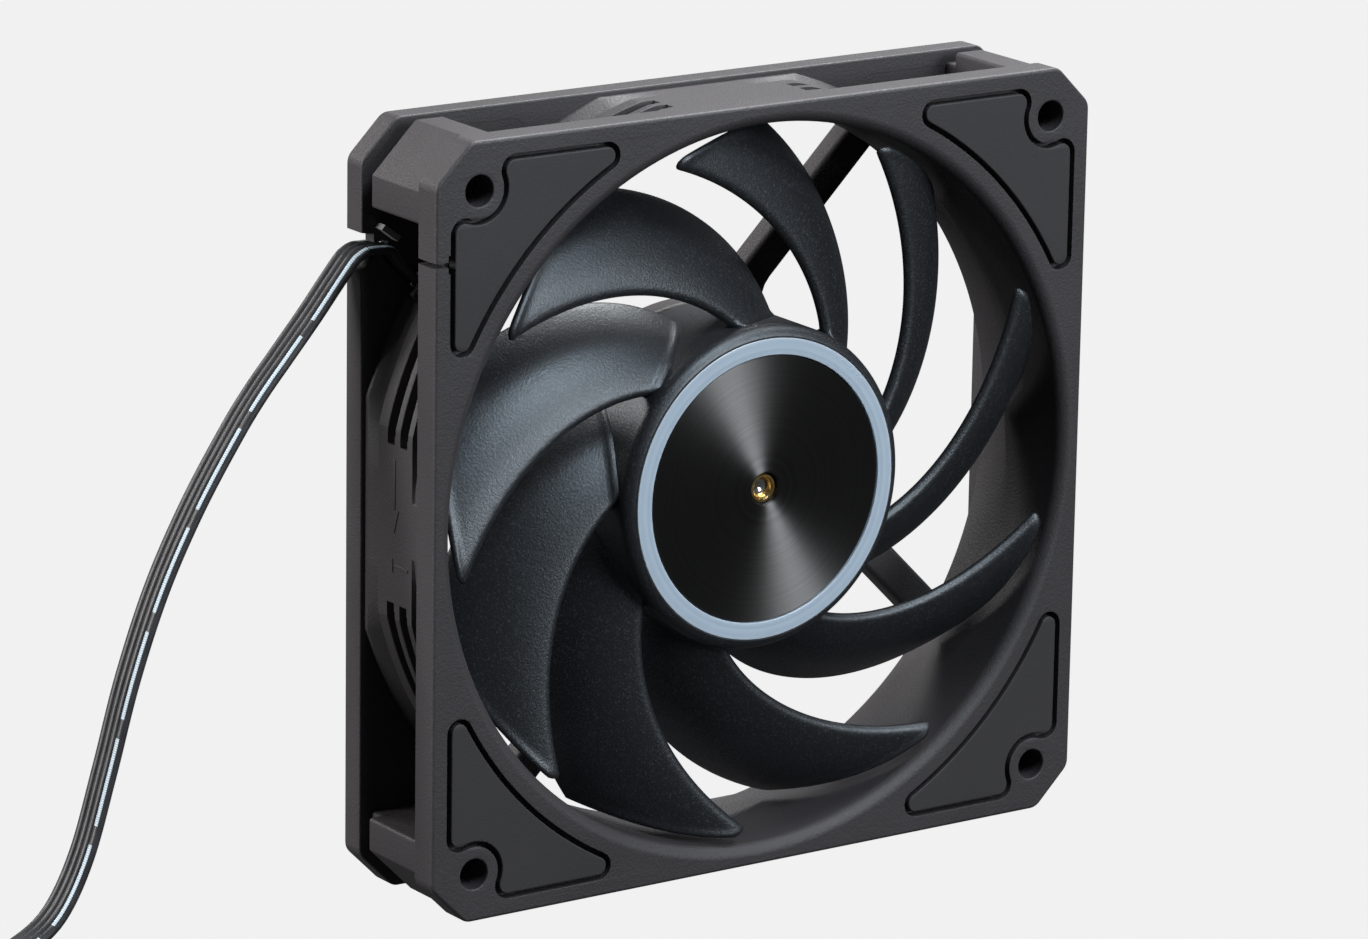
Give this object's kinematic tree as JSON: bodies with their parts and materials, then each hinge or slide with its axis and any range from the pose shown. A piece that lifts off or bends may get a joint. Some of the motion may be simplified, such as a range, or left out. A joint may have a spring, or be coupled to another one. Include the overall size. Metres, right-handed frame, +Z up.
{
  "type": "case fan",
  "caption": "Square axial cooling fan with swept blades, a light ring in the hub, soft corner pads and a ribbon cable with a plug.",
  "frame": {"origin": "middle of the lower edge of the housing, on the surface that it stands on", "axes": "+X to the right seen from the intake side, +Y the way the air goes, from intake to outlet, +Z up"},
  "size_m": [0.298, 0.0322, 0.12],
  "materials": {
    "housing_plastic": "fine textured moulding",
    "pad_rubber": "matt",
    "base_cover_plastic": "satin",
    "brass": "turned",
    "white_nylon": "satin",
    "bearing_bronze": "sintered",
    "seal_rubber": "matt",
    "stator_steel": "stamped",
    "winding_copper": "enamelled",
    "board_green": "solder mask",
    "chip_black": "moulded",
    "board_parts_tan": "ceramic",
    "cable_black": "soft satin",
    "clip_grey": "satin",
    "tie_black": "satin",
    "plug_black": "satin",
    "contact_gold": "plated",
    "impeller_plastic": "satin with fine glitter",
    "light_ring_milky": "milky translucent",
    "disc_dark_metal": "fine concentric turning",
    "shaft_steel": "ground",
    "clip_steel": "plain",
    "yoke_steel": "plated",
    "magnet_ferrite": "sintered"
  },
  "bodies": {
    "housing": {"frame": "housing_plastic", "front_pad_top_left": "pad_rubber", "front_pad_top_right": "pad_rubber", "front_pad_bottom_left": "pad_rubber", "front_pad_bottom_right": "pad_rubber", "rear_pad_top_left": "pad_rubber", "rear_pad_top_right": "pad_rubber", "rear_pad_bottom_left": "pad_rubber", "rear_pad_bottom_right": "pad_rubber", "base_cover": "base_cover_plastic", "bearing_tube": "brass", "thrust_pad": "white_nylon", "bearing_sleeve": "bearing_bronze", "oil_seal": "seal_rubber", "stator_core": "stator_steel", "coil_former_front": "white_nylon", "coil_former_rear": "white_nylon", "windings": "winding_copper", "circuit_board": "board_green", "driver_chip": "chip_black", "hall_sensor": "chip_black", "board_parts": "board_parts_tan", "cable_lead": "cable_black", "cable_clip": "clip_grey", "cable": "cable_black", "cable_hank": "cable_black", "cable_tie": "tie_black", "plug_housing": "plug_black", "plug_contacts": "contact_gold"},
    "rotor": {"impeller": "impeller_plastic", "light_ring": "light_ring_milky", "hub_disc": "disc_dark_metal", "shaft_bush": "brass", "rotor_shaft": "shaft_steel", "retaining_clip": "clip_steel", "rotor_yoke": "yoke_steel", "ring_magnet": "magnet_ferrite"}
  },
  "joints": [
    {"name": "rotor_spin", "type": "hinge", "parent": "housing", "child": "rotor", "pos_m": [0, 0, 0.06], "axis": [0, -1, 0], "continuous": true}
  ]
}
